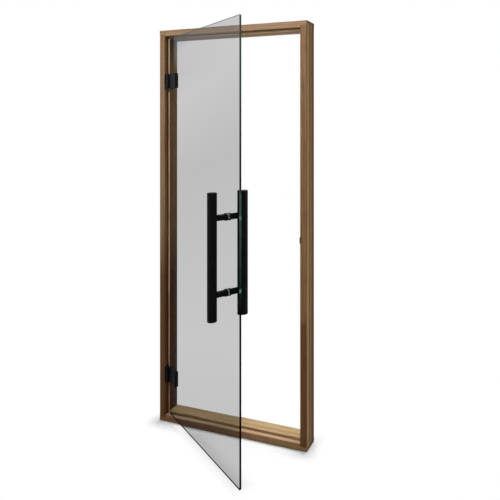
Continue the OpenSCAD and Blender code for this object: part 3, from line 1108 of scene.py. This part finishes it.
@dataclass
class GlassPane:
    """The glass of the leaf."""

    finish: GlassFinish = GlassFinish()

    def dress(self, shop: Workshop, place: LeafPlace) -> None:
        """Gives the pane its glass."""
        shop.dress(self.finish.build(place), "glass_leaf")


# Studio


@dataclass(frozen=True)
class Softbox:
    """A soft rectangular lamp.

    Attributes:
        name: Its name.
        at: Where it hangs.
        aim: The point it faces.
        size: Its width and height.
        level: How bright a white card facing it at the aim shows, about.
        through_glass: Whether it shows, and lights, through the glass.
    """

    name: str
    at: Point
    aim: Point
    size: Pair
    level: float
    through_glass: bool = True

    def hang(self) -> None:
        """Makes the lamp. Its power is pi squared times the level times the distance squared."""
        lamp = bpy.data.lights.new(self.name, "AREA")
        lamp.shape = "RECTANGLE"
        lamp.size, lamp.size_y = self.size
        way = Vector(self.aim) - Vector(self.at)
        lamp.energy = math.pi**2 * self.level * way.length_squared
        held = bpy.data.objects.new(self.name, lamp)
        held.location = self.at
        held.rotation_euler = way.to_track_quat("-Z", "Y").to_euler()
        held.visible_transmission = self.through_glass
        bpy.context.scene.collection.objects.link(held)
        log.info("hung %s at %.0f watts", self.name, lamp.energy)


@dataclass(frozen=True)
class Studio:
    """Floor, surroundings, lamps and camera.

    Attributes:
        surround: How bright the surroundings light the door.
        floor_half: Half the floor's side.
        floor_z: Its height, a hair under the sill.
        shadow_share: How much of the floor near the door shows its light and shadow.
        shadow_reach: Distances from the sill between which the floor turns plain white.
        leaf_reach: Distances ahead of the leaf between which its shade on the floor ends.
        behind_reach: Distances behind the leaf between which it ends.
        hinge_reach: Distances along the leaf from the pin between which it begins.
        free_reach: Distances along the leaf from the pin between which it ends.
        leaf_shade: How deep that shade is.
        shade_reach: How far from the leaf the floor is shaded.
        dull: The paint's grey for the light that it throws on the door.
        pale: The paint's grey as seen.
        lens: The camera's focal length in millimetres.
        sensor: Width of its film in millimetres.
        shift: How far its film is shifted, in widths of the picture.
        camera_at: Where it stands.
        heading: How far it is turned left from looking straight through the doorway.
    """

    surround: float = 0.20
    floor_half: float = 9.0
    floor_z: float = -0.0003
    shadow_share: float = 0.85
    shadow_reach: Pair = (0.0, 0.08)
    leaf_reach: Pair = (-0.03, 0.01)
    behind_reach: Pair = (0.06, 0.14)
    hinge_reach: Pair = (0.02, 0.08)
    free_reach: Pair = (0.60, 0.68)
    leaf_shade: float = 0.85
    shade_reach: float = 0.11
    dull: Colour = (0.20, 0.20, 0.20)
    pale: Colour = (0.67, 0.67, 0.67)
    lens: float = 36.861
    sensor: float = 36.0
    shift: Pair = (-0.1814, -0.2435)
    camera_at: Point = (1.2469, -2.1137, 1.4168)
    heading: float = math.radians(18.795)

    def build(self, place: LeafPlace) -> None:
        """Makes everything that isn't part of the door.

        Args:
            place: Where the leaf stands.
        """
        self.add_surroundings()
        self.add_floor(place)
        for lamp in (
            Softbox("lamp_key", (-0.42, -1.80, 2.70), (0.0, 0.0, 1.7), (0.7, 0.5), 0.66),
            Softbox("lamp_top", (0.1, 1.8, 6.5), (0.0, 0.0, 0.0), (3.4, 2.4), 1.10),
            Softbox("lamp_right", (3.0, 0.6, 0.9), (0.385, 0.0, 0.9), (1.0, 2.2), 0.45, False),
            Softbox("lamp_left", (-3.0, -0.9, 1.6), (-0.385, 0.0, 1.2), (0.8, 1.6), 0.20, False),
            Softbox("lamp_strip", (-0.75, -2.75, 0.95), (0.14, -0.37, 0.95), (0.12, 0.60), 0.10, False),
        ):
            lamp.hang()
        self.add_camera()
        bpy.context.scene.view_settings.view_transform = "Standard"

    def seen_straight(self, shade: Shade) -> Signal:
        """1 for rays from the camera, from a mirror or through glass, otherwise 0."""
        path = shade.node("ShaderNodeLightPath")
        camera, mirror, through = (
            Signal(shade, path.outputs[name])
            for name in ("Is Camera Ray", "Is Glossy Ray", "Is Transmission Ray")
        )
        return camera.most(mirror).most(through)

    def add_surroundings(self) -> None:
        """Makes the world: white to the eye, and a soft grey light on the door."""
        world = bpy.data.worlds.new("surroundings")
        bpy.context.scene.world = world
        shade = Shade(world)
        level = self.seen_straight(shade) * (1.0 - self.surround) + self.surround
        light = shade.node("ShaderNodeBackground", {}, {"Color": (1.0, 1.0, 1.0), "Strength": level})
        shade.node("ShaderNodeOutputWorld", {}, {"Surface": light.outputs[0]})

    def add_floor(self, place: LeafPlace) -> None:
        """Makes the floor: matt, and white to the eye but for the door's shadow.

        Args:
            place: Where the leaf stands.
        """
        h, z = self.floor_half, self.floor_z
        mesh = bpy.data.meshes.new("floor")
        mesh.from_pydata([(-h, -h, z), (h, -h, z), (h, h, z), (-h, h, z)], [], [(0, 1, 2, 3)])
        mesh.materials.append(self.floor_finish(place))
        floor = bpy.data.objects.new("floor", mesh)
        bpy.context.scene.collection.objects.link(floor)

    def floor_finish(self, place: LeafPlace) -> bpy.types.Material:
        """Makes the floor's material.

        Args:
            place: Where the leaf stands.

        Returns:
            Matt pale paint, which a straight ray sees mixed with plain white.
        """
        shade = Shade.named("floor_paint")
        x, y, _ = shade.place()
        past_x = (abs(x) - HALF_WIDTH).most(0.0)
        past_y = (abs(y) - HALF_DEPTH).most(0.0)
        away = (past_x * past_x + past_y * past_y).root().rise(*self.shadow_reach)
        c, s = math.cos(place.angle), math.sin(place.angle)
        along = (x - place.pin_x) * c - (y - place.pin_y) * s
        behind = (x - place.pin_x) * s + (y - place.pin_y) * c
        bare = (0.0 - behind).rise(*self.leaf_reach).most(behind.rise(*self.behind_reach))
        bare = bare.most(along.rise(*self.free_reach)).most(1.0 - along.rise(*self.hinge_reach))
        straight = self.seen_straight(shade)
        dull = shade.node("ShaderNodeBsdfDiffuse", {}, {"Color": self.dull})
        pale = shade.node("ShaderNodeBsdfDiffuse", {}, {"Color": self.pale})
        paint = shade.blend(straight, dull, pale)
        reach = {"Distance": self.shade_reach}
        clear = shade.node("ShaderNodeAmbientOcclusion", {"samples": 8}, reach).outputs["AO"]
        dim = (1.0 - Signal(shade, clear)) * (1.0 - bare) * self.leaf_shade
        bright = shade.node("ShaderNodeEmission", {}, {"Color": (1.0, 1.0, 1.0), "Strength": 1.0})
        black = shade.node("ShaderNodeEmission", {}, {"Color": (0.0, 0.0, 0.0), "Strength": 1.0})
        share = straight * (1.0 - self.shadow_share * (1.0 - away))
        return shade.finish(shade.blend(share, paint, shade.blend(dim, bright, black)))

    def add_camera(self) -> None:
        """Makes the camera: level, with its film shifted as the photograph's framing asks."""
        lens = bpy.data.cameras.new("camera")
        lens.sensor_width = self.sensor
        lens.lens = self.lens
        lens.shift_x, lens.shift_y = self.shift
        lens.clip_start, lens.clip_end = 0.02, 100.0
        camera = bpy.data.objects.new("camera", lens)
        camera.location = self.camera_at
        camera.rotation_euler = (math.pi / 2.0, 0.0, self.heading)
        bpy.context.scene.collection.objects.link(camera)
        bpy.context.scene.camera = camera


def main() -> None:
    """Builds the door's looks and the studio, in order."""
    logging.basicConfig(level=logging.INFO, format="%(message)s")
    place = LeafPlace()
    shop = Workshop(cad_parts)
    TimberFrame().dress(shop)
    GlassPane().dress(shop, place)
    Hinges().build(shop, place)
    Handles().build(shop, place)
    Studio().build(place)


if __name__ == "__main__":
    main()
